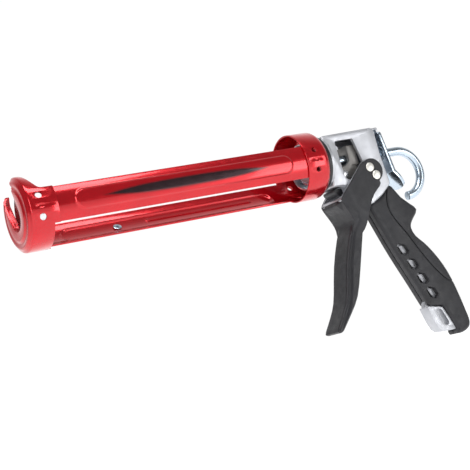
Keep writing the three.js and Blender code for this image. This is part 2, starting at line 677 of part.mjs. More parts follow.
// the half-round bend at the rod's rear end
function rodHook() {
  const middle = new THREE.Vector3(HOOK_START, 0, -HOOK_R);
  const points = [];
  for (let i = 0; i <= 12; i++) {
    const angle = (i / 12) * Math.PI;
    points.push(new THREE.Vector3(-HOOK_R * Math.sin(angle), 0, HOOK_R * Math.cos(angle)).add(middle));
  }
  const shankSide = rod(HOOK_START, HOOK_START + 10, ROD_R + 1);
  return piece('rod_hook', cut(wire(points, ROD_R, 14, 16), shankSide), zinc());
}

function plunger() {
  const [face, seat, back, rimBack] = [0, -3, -2.2, -3.8].map((x) => RING_TO_PLUNGER + x);
  const hubEnd = RING_TO_PLUNGER - HUB_LENGTH;
  return piece('plunger', turned([
    [seat, 0], [seat, ROD_CLEAR_R], [hubEnd, ROD_CLEAR_R], [hubEnd, 8], [back, 8], [back, PLUNGER_R - 1.7],
    [rimBack, PLUNGER_R - 1.7], [rimBack, PLUNGER_R], [face - 0.8, PLUNGER_R], [face, PLUNGER_R - 0.8],
    [face, 0],
  ]), steel());
}

function plungerNut() {
  const front = RING_TO_PLUNGER - HUB_LENGTH - 0.4;
  const body = cut(alongX(hexagon(13), front - 6, front), rod(front - 10, front + 5, ROD_CLEAR_R));
  return piece('plunger_nut', body, zinc());
}

// ---- the whole gun ----

const gun = new THREE.Group();
gun.position.x = -RING_TO_PLUNGER;
gun.add(
  barrel(), swivelRetainer(), swivelNut(), collar(), rodBush(), frame(), triggerStop(),
  gripShell('grip_near', 1), gripShell('grip_far', -1), backStrap(), trigger(), gripBlock(), driveLink(),
  linkPin(), releasePlate(), brakeSpring(), rodShank(), rodHook(), plunger(), plungerNut());

export default gun;
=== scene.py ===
"""A caulking gun with a red open barrel, a die-cast frame and soft black grips."""

import json
import math

import bmesh
import bpy
from mathutils import Matrix, Vector


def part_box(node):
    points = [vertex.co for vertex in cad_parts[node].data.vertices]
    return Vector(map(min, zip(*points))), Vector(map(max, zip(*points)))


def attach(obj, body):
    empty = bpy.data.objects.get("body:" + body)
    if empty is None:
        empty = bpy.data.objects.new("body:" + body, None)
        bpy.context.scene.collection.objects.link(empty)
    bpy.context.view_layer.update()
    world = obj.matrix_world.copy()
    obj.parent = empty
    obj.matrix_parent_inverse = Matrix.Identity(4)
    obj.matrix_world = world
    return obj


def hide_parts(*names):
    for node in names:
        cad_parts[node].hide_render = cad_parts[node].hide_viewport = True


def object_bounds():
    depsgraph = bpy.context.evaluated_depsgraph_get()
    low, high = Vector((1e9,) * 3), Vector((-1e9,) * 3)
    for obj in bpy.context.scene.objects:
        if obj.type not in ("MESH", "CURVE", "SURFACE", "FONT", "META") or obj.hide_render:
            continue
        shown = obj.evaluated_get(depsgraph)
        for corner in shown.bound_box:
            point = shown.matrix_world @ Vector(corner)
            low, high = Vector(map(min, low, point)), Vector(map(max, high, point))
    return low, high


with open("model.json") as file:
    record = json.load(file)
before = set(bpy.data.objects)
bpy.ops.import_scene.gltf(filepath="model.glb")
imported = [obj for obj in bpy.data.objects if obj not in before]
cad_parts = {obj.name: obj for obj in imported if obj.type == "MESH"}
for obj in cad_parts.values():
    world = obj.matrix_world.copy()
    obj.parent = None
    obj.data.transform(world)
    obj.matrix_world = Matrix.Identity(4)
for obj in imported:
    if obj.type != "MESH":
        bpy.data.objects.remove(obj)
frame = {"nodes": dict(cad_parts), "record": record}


def plain_bounds():
    return [[float(value) for value in corner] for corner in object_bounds()]


cad_bounds = plain_bounds()

# ---- places and sizes ----
# Shapes are written in millimetres with x measured from the front edge of the rear ring.

MM = 0.001
RING_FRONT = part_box("rear_ring")[1].x
SWIVEL = math.radians(22.5)
RAIL_TURN = math.radians(22.5)
RAIL_ANGLES = {"near_rail": -RAIL_TURN, "lower_rail": math.pi + RAIL_TURN}
BARREL_R = 29.0
SHEET = 1.2
BARREL_INNER = BARREL_R - SHEET
RAIL_R = 27.6
RAIL_HALF = math.radians(29.3)
ROD_R = 4.0
SPIGOT_GAP_R = 13.8
PLUNGER_FACE = -RING_FRONT / MM
PIVOT = (-72.9, -20.2)
DRIVE_PIN = (-68.3, -12.6)

# ---- mesh helpers ----

SMOOTH_BELOW = math.radians(38)
NEAR_AXIS = 0.01  # a turned profile stops this far from its axis


def to_object(name, bm):
    """Makes an object, in the scene's metres, from a mesh in millimetres."""
    bmesh.ops.remove_doubles(bm, verts=bm.verts, dist=1e-4)
    bmesh.ops.dissolve_degenerate(bm, edges=bm.edges, dist=1e-4)
    bmesh.ops.recalc_face_normals(bm, faces=bm.faces)
    mesh = bpy.data.meshes.new(name)
    bm.to_mesh(mesh)
    bm.free()
    mesh.transform(Matrix.Translation((RING_FRONT, 0, 0)) @ Matrix.Scale(MM, 4))
    made = bpy.data.objects.new(name, mesh)
    bpy.context.scene.collection.objects.link(made)
    return made


def skin(bm, rings):
    """Joins each ring of vertices to the next."""
    for low, high in zip(rings, rings[1:]):
        for i in range(len(low)):
            j = (i + 1) % len(low)
            bm.faces.new((low[i], low[j], high[j], high[i]))


def lathe(profile, segments, axis="X"):
    """A profile of (along, radius) turned about the X or the Y axis, and capped if it is open."""
    bm = bmesh.new()
    rings = []
    for along, radius in profile:
        ring = []
        for i in range(segments):
            angle = 2 * math.pi * i / segments
            a, b = radius * math.cos(angle), radius * math.sin(angle)
            ring.append(bm.verts.new((along, a, b) if axis == "X" else (a, along, b)))
        rings.append(ring)
    skin(bm, rings)
    if profile[0] != profile[-1]:
        bm.faces.new(rings[0])
        bm.faces.new(rings[-1])
    return bm


def rounded(corners, steps=6):
    """The outline through corners given as (x, z) or (x, z, rounding length)."""
    points = []
    count = len(corners)
    for i, corner in enumerate(corners):
        here = Vector(corner[:2])
        reach = corner[2] if len(corner) > 2 else 0
        if reach == 0:
            points.append(here)
            continue
        before = Vector(corners[i - 1][:2]) - here
        after = Vector(corners[(i + 1) % count][:2]) - here
        start = here + before.normalized() * min(reach, before.length * 0.48)
        end = here + after.normalized() * min(reach, after.length * 0.48)
        for k in range(steps + 1):
            t = k / steps
            points.append(start * (1 - t) ** 2 + here * 2 * t * (1 - t) + end * t * t)
    return points


def slab(points, low, high, plane="XZ"):
    """An outline spread across Y, or an outline in (y, z) spread along X."""
    bm = bmesh.new()

    def place(point, depth):
        return (point[0], depth, point[1]) if plane == "XZ" else (depth, point[0], point[1])

    first = [bm.verts.new(place(p, low)) for p in points]
    last = [bm.verts.new(place(p, high)) for p in points]
    bm.faces.new(first)
    bm.faces.new(last)
    for i in range(len(points)):
        j = (i + 1) % len(points)
        bm.faces.new((first[i], first[j], last[j], last[i]))
    return bm


def sweep(points, radius, sides):
    """Round wire along points, with flat ends."""
    bm = bmesh.new()
    path = [Vector(p) for p in points]
    normal = None
    rings = []
    for i, here in enumerate(path):
        ahead = path[min(i + 1, len(path) - 1)] - path[max(i - 1, 0)]
        ahead.normalize()
        if normal is None:
            normal = ahead.orthogonal().normalized()
        normal = (normal - ahead * normal.dot(ahead)).normalized()
        side = ahead.cross(normal)
        ring = []
        for k in range(sides):
            angle = 2 * math.pi * k / sides
            outward = normal * math.cos(angle) + side * math.sin(angle)
            ring.append(bm.verts.new(here + radius * outward))
        rings.append(ring)
    skin(bm, rings)
    bm.faces.new(rings[0])
    bm.faces.new(rings[-1])
    return bm


def apply_modifiers(piece):
    graph = bpy.context.evaluated_depsgraph_get()
    mesh = bpy.data.meshes.new_from_object(piece.evaluated_get(graph))
    piece.modifiers.clear()
    piece.data = mesh


def combine(piece, others, operation):
    for other in others:
        modifier = piece.modifiers.new("combine", "BOOLEAN")
        modifier.operation = operation
        modifier.object = other
        modifier.solver = "EXACT"
    apply_modifiers(piece)
    for other in others:
        bpy.data.objects.remove(other)


def cut(piece, *tools):
    combine(piece, tools, "DIFFERENCE")


def join(piece, *others):
    combine(piece, others, "UNION")


def ease_edges(piece, width, segments=2, angle=32):
    """Rounds every edge sharper than the angle, and shades the rest smooth."""
    if width > 0:
        modifier = piece.modifiers.new("edges", "BEVEL")
        modifier.width = width * MM
        modifier.segments = segments
        modifier.limit_method = "ANGLE"
        modifier.angle_limit = math.radians(angle)
        apply_modifiers(piece)
    shade(piece)
    return piece


def shade(piece):
    """Smooth faces, with a sharp line at every edge steeper than SMOOTH_BELOW."""
    bm = bmesh.new()
    bm.from_mesh(piece.data)
    for face in bm.faces:
        face.smooth = True
    for edge in bm.edges:
        edge.smooth = len(edge.link_faces) != 2 or edge.calc_face_angle(0) < SMOOTH_BELOW
    bm.to_mesh(piece.data)
    bm.free()


def copy_of(node, name):
    """A new object with the shape of a CAD node."""
    mesh = frame["nodes"][node].data.copy()
    mesh.materials.clear()
    bm = bmesh.new()
    bm.from_mesh(mesh)
    bmesh.ops.remove_doubles(bm, verts=bm.verts, dist=1e-6)
    bm.to_mesh(mesh)
    bm.free()
    made = bpy.data.objects.new(name, mesh)
    bpy.context.scene.collection.objects.link(made)
    return made


def moulded(node, name, voxel, passes, reshape=None):
    """A CAD node's shape with the soft edges of a moulding; reshape gives each vertex its new y."""
    piece = copy_of(node, name)
    remesh = piece.modifiers.new("remesh", "REMESH")
    remesh.mode = "VOXEL"
    remesh.voxel_size = voxel * MM
    apply_modifiers(piece)
    if reshape:
        for vertex in piece.data.vertices:
            x, y, z = (vertex.co - Vector((RING_FRONT, 0, 0))) / MM
            vertex.co.y = reshape(x, y, z) * MM
    soften = piece.modifiers.new("soften", "SMOOTH")
    soften.factor = 0.5
    soften.iterations = passes
    apply_modifiers(piece)
    for polygon in piece.data.polygons:
        polygon.use_smooth = True
    return piece


def clamp(t):
    return min(1.0, max(0.0, t))


def blend(t):
    """An eased step from 0 to 1."""
    t = clamp(t)
    return t * t * (3 - 2 * t)


# ---- materials ----


BLOTCH_SCALE = 45
SCUFF_SCALE = 160
COAT_ROUGHNESS = 0.06
BUMP_HEIGHT = 0.0004


def noise(tree, scale, detail, roughness=0.5):
    place = tree.nodes.new("ShaderNodeTexCoord")
    texture = tree.nodes.new("ShaderNodeTexNoise")
    texture.inputs["Scale"].default_value = scale
    texture.inputs["Detail"].default_value = detail
    texture.inputs["Roughness"].default_value = roughness
    tree.links.new(place.outputs["Object"], texture.inputs["Vector"])
    return texture.outputs["Fac"]


def remap(tree, value, low, high, from_low=0.3, from_high=0.7):
    node = tree.nodes.new("ShaderNodeMapRange")
    node.inputs["From Min"].default_value = from_low
    node.inputs["From Max"].default_value = from_high
    node.inputs["To Min"].default_value = low
    node.inputs["To Max"].default_value = high
    tree.links.new(value, node.inputs["Value"])
    return node.outputs["Result"]


def mix_colour(tree, factor, first, second):
    node = tree.nodes.new("ShaderNodeMix")
    node.data_type = "RGBA"
    tree.links.new(factor, node.inputs["Factor"])
    for socket, value in ((node.inputs[6], first), (node.inputs[7], second)):
        if isinstance(value, tuple):
            socket.default_value = (*value, 1)
        else:
            tree.links.new(value, socket)
    return node.outputs[2]


def surface(name, colour, roughness, metallic, grain, bump, coat=0.0, spread=0.12):
    """A worn, slightly uneven surface: blotches of tone, scuffs in the gloss and a fine grain."""
    made = bpy.data.materials.new(name)
    made.use_nodes = True
    tree = made.node_tree
    shader = tree.nodes["Principled BSDF"]
    dark = tuple(c * (1 - spread) for c in colour)
    light = tuple(min(1.0, c * (1 + spread)) for c in colour)
    tone = remap(tree, noise(tree, BLOTCH_SCALE, 4), 0, 1)
    tree.links.new(mix_colour(tree, tone, dark, light), shader.inputs["Base Color"])
    scuffs = noise(tree, SCUFF_SCALE, 6, 0.65)
    scuff = remap(tree, scuffs, roughness * 0.8, min(1.0, roughness * 1.3))
    tree.links.new(scuff, shader.inputs["Roughness"])
    shader.inputs["Metallic"].default_value = metallic
    shader.inputs["Coat Weight"].default_value = coat
    shader.inputs["Coat Roughness"].default_value = COAT_ROUGHNESS
    relief = tree.nodes.new("ShaderNodeBump")
    relief.inputs["Strength"].default_value = bump
    relief.inputs["Distance"].default_value = BUMP_HEIGHT
    tree.links.new(noise(tree, grain, 3), relief.inputs["Height"])
    tree.links.new(relief.outputs["Normal"], shader.inputs["Normal"])
    return made


RED = (0.5, 0.0015, 0.008)
red_enamel = surface("red_enamel", RED, 0.2, 0.6, 420, 0.05, coat=0.55, spread=0.07)
cast_metal = surface("cast_metal", (0.5, 0.51, 0.54), 0.4, 0.9, 700, 0.03, spread=0.09)
bright_zinc = surface("bright_zinc", (0.48, 0.56, 0.64), 0.22, 1.0, 500, 0.02, spread=0.12)
turned_steel = surface("turned_steel", (0.6, 0.61, 0.63), 0.26, 1.0, 900, 0.08, spread=0.08)
sintered = surface("sintered", (0.24, 0.23, 0.22), 0.5, 0.7, 1600, 0.35, spread=0.2)
rivet_steel = surface("rivet_steel", (0.84, 0.82, 0.77), 0.38, 0.75, 1100, 0.12, spread=0.08)
brass = surface("brass", (0.6, 0.46, 0.22), 0.3, 1.0, 900, 0.08)
black_plastic = surface("black_plastic", (0.01, 0.01, 0.012), 0.38, 0.0, 1400, 0.15, spread=0.25)
soft_grip = surface("soft_grip", (0.007, 0.007, 0.01), 0.46, 0.0, 2600, 0.2, spread=0.25)


STRIPE_MIDDLE = 111.5
STRIPE_HALF_LENGTH = 76.0
STRIPE_HALF_HEIGHT = 4.6
STRIPE_EDGE = (-0.05, 0.35)
STRIPE_INK = (0.03, 0.012, 0.016)


def striped_enamel():
    """Red enamel with a dark tapered stripe printed along the middle of the rail."""
    made = red_enamel.copy()
    made.name = "striped_enamel"
    tree = made.node_tree
    shader = tree.nodes["Principled BSDF"]
    red = shader.inputs["Base Color"].links[0].from_socket
    place = tree.nodes.new("ShaderNodeTexCoord")
    parts = tree.nodes.new("ShaderNodeSeparateXYZ")
    tree.links.new(place.outputs["Object"], parts.inputs["Vector"])

    def maths(operation, a, b=None):
        node = tree.nodes.new("ShaderNodeMath")
        node.operation = operation
        for socket, value in zip(node.inputs, (a, b)):
            if value is None:
                continue
            if isinstance(value, float):
                socket.default_value = value
            else:
                tree.links.new(value, socket)
        return node.outputs[0]

    middle = RING_FRONT + STRIPE_MIDDLE * MM
    along = maths("DIVIDE", maths("SUBTRACT", parts.outputs["X"], middle), STRIPE_HALF_LENGTH * MM)
    body = maths("SUBTRACT", 1.0, maths("POWER", maths("ABSOLUTE", along), 3.0))
    height = maths("DIVIDE", maths("ABSOLUTE", parts.outputs["Z"]), STRIPE_HALF_HEIGHT * MM)
    inside = maths("SUBTRACT", body, height)
    edge = tree.nodes.new("ShaderNodeMapRange")
    edge.inputs["From Min"].default_value = STRIPE_EDGE[0]
    edge.inputs["From Max"].default_value = STRIPE_EDGE[1]
    tree.links.new(inside, edge.inputs["Value"])
    printed = mix_colour(tree, edge.outputs["Result"], red, STRIPE_INK)
    tree.links.new(printed, shader.inputs["Base Color"])
    return made


striped_red = striped_enamel()

NODE_BODY = {}
for body_name, members in frame["record"]["behaviour"]["bodies"].items():
    for member in members:
        NODE_BODY[member] = body_name


def stands_for(piece, node, material):
    """The piece takes the node's place and body."""
    piece.data.materials.clear()
    piece.data.materials.append(material)
    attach(piece, NODE_BODY[node])
    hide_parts(node)


# ---- barrel ----

TAB_HOLE_TURN = math.radians(17)
REAR_HOLES_X = -9.7
HOLE_SPAN = (20, 36)
DIMPLE_HALF = (4.9, 2.6)
DIMPLE_DEPTH = 0.6
DIMPLE_LIFT = 1.2
SLOT_R = 11
SLOT_MIDDLE = -1.5
SLOT_MOUTH_HALF = 13.5


def radial(piece, angle):
    """Turns a piece about the barrel's axis."""
    piece.data.transform(Matrix.Translation((RING_FRONT, 0, 0)) @ Matrix.Rotation(angle, 4, "X")
                         @ Matrix.Translation((-RING_FRONT, 0, 0)))
    return piece


def radial_hole(x, radius, angle):
    bm = lathe([(depth, radius) for depth in HOLE_SPAN], 32, "Y")
    bmesh.ops.translate(bm, verts=bm.verts, vec=(x, 0, 0))
    return radial(to_object("hole", bm), angle)


def dimple(x, angle):
    """A shallow oval pressed into the outside of the sheet."""
    bm = bmesh.new()
    bmesh.ops.create_uvsphere(bm, u_segments=40, v_segments=20, radius=1)
    bmesh.ops.scale(bm, verts=bm.verts, vec=(DIMPLE_HALF[0], DIMPLE_DEPTH + DIMPLE_LIFT, DIMPLE_HALF[1]))
    bmesh.ops.translate(bm, verts=bm.verts, vec=(x, BARREL_R + DIMPLE_LIFT, 0))
    return radial(to_object("dimple", bm), angle)


def rail_joint(x, radius):
    """Cutters for the holes and the dimple where each rail meets the sheet."""
    tools = []
    for angle in RAIL_ANGLES.values():
        turned = angle + SWIVEL
        tools += [radial_hole(x, radius, turned + side * TAB_HOLE_TURN) for side in (-1, 1)]
        tools.append(dimple(x, turned))
    return tools


def nozzle_slot(grow=0.0):
    """The slot's outline in (y, z), open at the top, and wider all round by grow."""
    outline = [(SLOT_MOUTH_HALF + grow, 36), (-SLOT_MOUTH_HALF - grow, 36)]
    radius = SLOT_R + grow
    for i in range(33):
        angle = math.pi + math.pi * i / 32
        outline.append((radius * math.cos(angle), SLOT_MIDDLE + radius * math.sin(angle)))
    return outline


def nose_cap():
    shell = to_object("nose_cap_sheet", lathe([
        (223, BARREL_INNER), (223, BARREL_R), (243.4, BARREL_R), (244.2, 28.8), (244.8, 28.3),
        (245.2, 27.7),
        (245.6, 27), (246.1, 26.4), (246.8, 25.8), (247.2, 25), (247.3, 24.1), (247.1, 23), (246.8, 22.1),
        (246.8, 21.3), (247, 20.5), (247.5, 19.8), (248, 19), (248, 0), (246.7, 0), (246.7, 18.2),
        (246.1, 19.3), (245.6, 20.5), (245.6, 21.6), (245.8, 22.7), (245.9, 23.7), (245.6, 24.6), (245, 25.2),
        (244.5, 25.8), (244, 26.6), (243.4, 27.3), (242.8, BARREL_INNER),
        (223, BARREL_INNER),
    ], 160))
    half_tab = math.radians(29)
    between = math.pi / 2 - RAIL_TURN - half_tab
    wedge = [(0, 0)]
    for i in range(13):
        angle = -math.pi / 2 - between + i * between / 6
        wedge.append((40 * math.cos(angle), 40 * math.sin(angle)))
    skirt = to_object("skirt_cut", slab(wedge, 215, 227.5, "YZ"))
    loading = to_object("loading_cut", slab(rounded([
        (215, 3.3), (234, 3.3, 3), (237.5, 10, 8), (240, 18.4, 6), (241.2, 24), (241.6, 40), (215, 40),
    ], 10), -40, 40))
    nozzle = to_object("nozzle_cut", slab(nozzle_slot(), 220, 255, "YZ"))
    lip = to_object("slot_lip", slab(nozzle_slot(SHEET), 243, 247.3, "YZ"))
    for tool in (skirt, loading, nozzle, lip):
        radial(tool, SWIVEL)
    room = lathe([(230, NEAR_AXIS), (230, 21.4), (250, 21.4), (250, NEAR_AXIS)], 96)
    combine(lip, [to_object("lip_room", room)], "INTERSECT")
    join(shell, lip)
    cut(shell, skirt, loading, nozzle, *rail_joint(236.2, 2.7))
    ease_edges(shell, 0.3)
    stands_for(shell, "nose_cap", red_enamel)


def rear_ring():
    shell = to_object("rear_ring_sheet", lathe([
        (-23.4, 14), (-23.4, 24.6), (-23.1, 25.8), (-22.4, 26.9), (-21.3, 27.9), (-19.9, 28.7),
        (-18, BARREL_R),
        (-0.2, BARREL_R), (0, BARREL_R - 0.2), (0, BARREL_INNER + 0.2), (-0.2, BARREL_INNER),
        (-18, BARREL_INNER), (-19.6, 27.4),
        (-20.8, 26.7), (-21.7, 25.7), (-22.2, 24.4), (-22.2, 14), (-23.4, 14),
    ], 160))
    cut(shell, *rail_joint(REAR_HOLES_X, 2.3))
    ease_edges(shell, 0.25)
    stands_for(shell, "rear_ring", red_enamel)


PANEL = (14.0, 209.0)
PANEL_HALF = 8.4
PANEL_RISE = 1.2
PANEL_BLEND = 1.5
RAIL_ENDS = (-17.0, 238.0)
RIB_ENDS = (36.0, 132.0)
RIB_HALF = 2.0
RIB_DEPTH = 0.9
RIB_BLEND = 0.9
RIB_TURN = math.radians(-4)


def panel_rise(x, across):
    """How far the pressed panel stands out at a place on the rail."""
    low, high = PANEL[0] + PANEL_HALF, PANEL[1] - PANEL_HALF
    beyond = max(low - x, 0, x - high)
    depth = PANEL_HALF - math.hypot(beyond, across)
    return PANEL_RISE * blend(depth / PANEL_BLEND)


def rib_share(x, across):
    """How fully a place lies in the narrow rib pressed along the lower rail."""
    beyond = max(RIB_ENDS[0] - x, 0, x - RIB_ENDS[1])
    return blend((RIB_HALF - math.hypot(beyond, across)) / RIB_BLEND)


def rail(node, material):
    """A rolled strip with a raised panel, its rims rounded."""
    middle = RAIL_ANGLES[node] + SWIVEL
    across_steps, along_step = 56, 0.75
    stops = int((RAIL_ENDS[1] - RAIL_ENDS[0]) / along_step)
    bm = bmesh.new()
    outer, inner = [], []
    for i in range(stops + 1):
        x = RAIL_ENDS[0] + i * along_step
        rows = ([], [])
        for k in range(across_steps + 1):
            offset = -RAIL_HALF + 2 * RAIL_HALF * k / across_steps
            angle = middle + offset
            rise = panel_rise(x, RAIL_R * offset)
            if node == "lower_rail":
                rise -= RIB_DEPTH * rib_share(x, RAIL_R * (offset - RIB_TURN))
            for row, radius in ((rows[0], RAIL_R + rise), (rows[1], RAIL_R - SHEET + rise)):
                row.append(bm.verts.new((x, radius * math.cos(angle), radius * math.sin(angle))))
        outer.append(rows[0])
        inner.append(rows[1])
    for rows, flip in ((outer, False), (inner, True)):
        for low, high in zip(rows, rows[1:]):
            for k in range(across_steps):
                face = (low[k], low[k + 1], high[k + 1], high[k])
                bm.faces.new(face[::-1] if flip else face)
    for i in range(stops):
        for k in (0, across_steps):
            bm.faces.new((outer[i][k], outer[i + 1][k], inner[i + 1][k], inner[i][k]))
    for i in (0, stops):
        for k in range(across_steps):
            bm.faces.new((outer[i][k], outer[i][k + 1], inner[i][k + 1], inner[i][k]))
    strip = to_object(node + "_strip", bm)
    holes = []
    for x, radius in ((REAR_HOLES_X, 2.5), (235.4, 2.9)):
        holes += [radial_hole(x, radius, middle + side * TAB_HOLE_TURN) for side in (-1, 1)]
    if node == "lower_rail":
        holes.append(radial_hole(PIERCER_X, 2.3, middle))
    cut(strip, *holes)
    ease_edges(strip, 0.22, 2, 50)
    stands_for(strip, node, material)


PIERCER_X = 160.0
PIERCER_ANGLE = RAIL_ANGLES["lower_rail"] + SWIVEL
PIERCER_R = 30.3


def piercing_pin():
    eye = lathe([
        (29.3, 2.3), (29.3, 4.6), (29.7, 5), (30.9, 5), (31.3, 4.6), (31.3, 2.3), (29.3, 2.3),
    ], 48, "Y")
    bmesh.ops.translate(eye, verts=eye.verts, vec=(PIERCER_X, 0, 0))
    shank = lathe([(-84, 0.05), (-76, 1.05), (-4, 1.05)], 24)
    bmesh.ops.translate(shank, verts=shank.verts, vec=(PIERCER_X, PIERCER_R, 0))
    pin = radial(to_object("piercing_pin_wire", eye), PIERCER_ANGLE)
    join(pin, radial(to_object("shank", shank), PIERCER_ANGLE))
    ease_edges(pin, 0)
    stands_for(pin, "piercing_pin", bright_zinc)


def piercer_rivet():
    bm = lathe([
        (26.3, 1), (26.3, 3.1), (26.5, 3.4), (27.1, 3.4), (27.1, 2), (31.6, 2), (31.6, 3.6), (32.1, 3.5),
        (32.4, 3), (32.4, 1), (26.3, 1),
    ], 48, "Y")
    bmesh.ops.translate(bm, verts=bm.verts, vec=(PIERCER_X, 0, 0))
    rivet = radial(to_object("piercer_eyelet", bm), PIERCER_ANGLE)
    ease_edges(rivet, 0)
    stands_for(rivet, "piercer_rivet", bright_zinc)


# ---- turned pieces on the barrel's axis ----


def turned_piece(node, name, profile, material, edge=0.25):
    piece = to_object(name, lathe(profile, 96))
    ease_edges(piece, edge)
    stands_for(piece, node, material)


def swivel():
    turned_piece("swivel_retainer", "retainer_cup", [
        (-21.9, SPIGOT_GAP_R), (-21.9, 19.3), (-21.7, 19.8), (-21.2, 20), (-12, 20), (-12, 18.8), (-20, 18.8),
        (-20.5, 18.6), (-20.7, 18), (-20.7, SPIGOT_GAP_R), (-21.9, SPIGOT_GAP_R),
    ], turned_steel)
    turned_piece("collar", "collar_ring", [
        (-27.7, SPIGOT_GAP_R), (-27.7, 23.7), (-27.4, 24.2), (-26.9, 24.4), (-24.5, 24.4), (-24, 24.2),
        (-23.7, 23.7), (-23.7, SPIGOT_GAP_R), (-27.7, SPIGOT_GAP_R),
    ], black_plastic)
    turned_piece("rod_bush", "bush", [
        (-30, 4.3), (-30, 7.2), (-13.2, 7.2), (-13.2, 9.3), (-13, 9.5), (-12, 9.5), (-11.8, 9.3), (-11.8, 4.3),
        (-30, 4.3),
    ], brass, 0.15)


# ---- rod and plunger ----

HOOK_START = -113.0
HOOK_R = 20.7


def rod_piece():
    end = PLUNGER_FACE - 3.6
    points = [(end + (HOOK_START - end) * i / 27, 0, 0) for i in range(27)]
    for i in range(49):
        angle = math.pi * i / 48
        points.append((HOOK_START - HOOK_R * math.sin(angle), 0, HOOK_R * (math.cos(angle) - 1)))
    rod = to_object("push_rod", sweep(points, ROD_R, 40))
    ease_edges(rod, 0.5, 3, 50)
    stands_for(rod, "rod", bright_zinc)
    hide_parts("rod_hook")


def plunger_piece():
    rim = 22.5
    profile = [
        (-3.1, NEAR_AXIS), (-3.1, 4.3), (-15, 4.3), (-15, 7.6), (-14.6, 8), (-3, 8), (-2.2, 8.8),
        (-2.2, 20.2), (-2.8, 20.8), (-3.8, 20.8), (-3.8, 22.3), (-3.6, rim), (-1.6, rim), (-0.6, 22),
        (0, 21.2), (0, NEAR_AXIS),
    ]
    placed = [(PLUNGER_FACE + x, radius) for x, radius in profile]
    turned_piece("plunger", "plunger_disc", placed, turned_steel)


# ---- frame, pins and small metal pieces that keep the CAD outline ----


def eased(node, name, material, width=0.3, segments=2, angle=25):
    piece = ease_edges(copy_of(node, name), width, segments, angle)
    stands_for(piece, node, material)


PIN_HEAD_R = 4.0
PIN_DOME = 1.3
PIN_HALF = 17.9


def headed_pin(node, name, place, radius):
    """A riveted pin with low domed heads."""
    profile = []
    for i in range(7):
        angle = math.pi / 2 * i / 6
        profile.append((-PIN_HALF - PIN_DOME * math.cos(angle), NEAR_AXIS + PIN_HEAD_R * math.sin(angle)))
    profile += [(-PIN_HALF, radius), (PIN_HALF, radius)]
    for i in range(7):
        angle = math.pi / 2 * (6 - i) / 6
        profile.append((PIN_HALF + PIN_DOME * math.cos(angle), NEAR_AXIS + PIN_HEAD_R * math.sin(angle)))
    bm = lathe(profile, 48, "Y")
    bmesh.ops.translate(bm, verts=bm.verts, vec=(place[0], 0, place[1]))
    piece = to_object(name, bm)
    ease_edges(piece, 0)
    stands_for(piece, node, rivet_steel)


COIL_STEPS = 40


def coil(x, z, radius, low, high, turns, axis, start=0.0):
    """Points along a helix about the X axis, or about a line through (x, z) parallel to Y."""
    points = []
    for i in range(int(turns * COIL_STEPS) + 1):
        angle = start + 2 * math.pi * i / COIL_STEPS
        along = low + (high - low) * i / (turns * COIL_STEPS)
        a, b = radius * math.cos(angle), radius * math.sin(angle)
        points.append((along, a, b) if axis == "X" else (x + a, along, z + b))
    return points


def springs():
    brake = to_object("brake_coil", sweep(coil(0, 0, 6.4, -87.1, -90, 2, "X"), 0.6, 12))
    ease_edges(brake, 0)
    stands_for(brake, "brake_spring", turned_steel)
    px, pz = PIVOT
    points = [(px - 8, 4.7, pz - 4.2), (px - 4, 4.8, pz - 4.15)]
    points += coil(px, pz, 4.1, 4.9, 9.9, 3.25, "Y", -math.pi / 2)
    points += [(px + 6, 9.95, pz + 3), (px + 8.6, 9.95, pz + 6.8)]
    torsion = to_object("trigger_coil", sweep(points, 0.65, 12))
    ease_edges(torsion, 0)
    stands_for(torsion, "trigger_spring", turned_steel)


# ---- grips and trigger cover ----


def distance_to_line(x, z, line):
    """How far a side-view place is from a run of straight pieces."""
    best = 1e9
    here = Vector((x, z))
    for a, b in zip(line, line[1:]):
        start, step = Vector(a), Vector(b) - Vector(a)
        t = clamp((here - start).dot(step) / step.length_squared)
        best = min(best, (here - start - step * t).length)
    return best


HANDLE_TOP = Vector((-92, -50))
HANDLE_RUN = Vector((-35, -115)).normalized()
HANDLE_HALF = 19
CROWN_FROM = 4.5
CROWN_REACH = 4
CROWN_FALL = 0.2


def crowned_handle(x, y, z):
    """The grip's outer faces fall away from the middle of the handle."""
    offset = Vector((x, z)) - HANDLE_TOP
    side = (offset.x * HANDLE_RUN.y - offset.y * HANDLE_RUN.x) / HANDLE_HALF
    t = clamp((abs(y) - CROWN_FROM) / CROWN_REACH)
    return y * (1 - CROWN_FALL * t * min(1.0, side * side))


def grips():
    names = (("grip_near", "soft_side_near"), ("grip_far", "soft_side_far"), ("back_strap", "soft_back"))
    for node, name in names:
        piece = moulded(node, name, 0.55, 9, crowned_handle)
        stands_for(piece, node, soft_grip)


BLADE_CREASE = [
    (-33, -38.5), (-40.5, -44), (-44.2, -50), (-44, -56), (-38.2, -65), (-28.4, -87), (-21, -111),
    (-15.6, -124), (-2, -143),
]
CREASE_FROM_R = 38
CREASE_LEAST_HALF = 8
CREASE_WIDTH = 1.1
CHEEK_HALF = 17.6


def flowing_cheeks(x, y, z):
    """The cheeks narrow into the blade below the fork, and a crease runs beside the blade's front edge."""
    radius = math.hypot(x - PIVOT[0], z - PIVOT[1])
    limit = CHEEK_HALF - 1.2 * blend((radius - 34) / 10) - 4.4 * blend((radius - 44) / 16)
    width = min(abs(y), limit)
    if radius > CREASE_FROM_R and width > CREASE_LEAST_HALF:
        depth = 0.3 + 0.8 * blend((radius - 46) / 8)
        away = distance_to_line(x, z, BLADE_CREASE) / CREASE_WIDTH
        width -= depth * math.exp(-away ** 2)
    return math.copysign(width, y)


def trigger_cover():
    piece = moulded("trigger_cover", "trigger_soft_cover", 0.5, 6, flowing_cheeks)
    stands_for(piece, "trigger_cover", soft_grip)


# ---- the gun ----

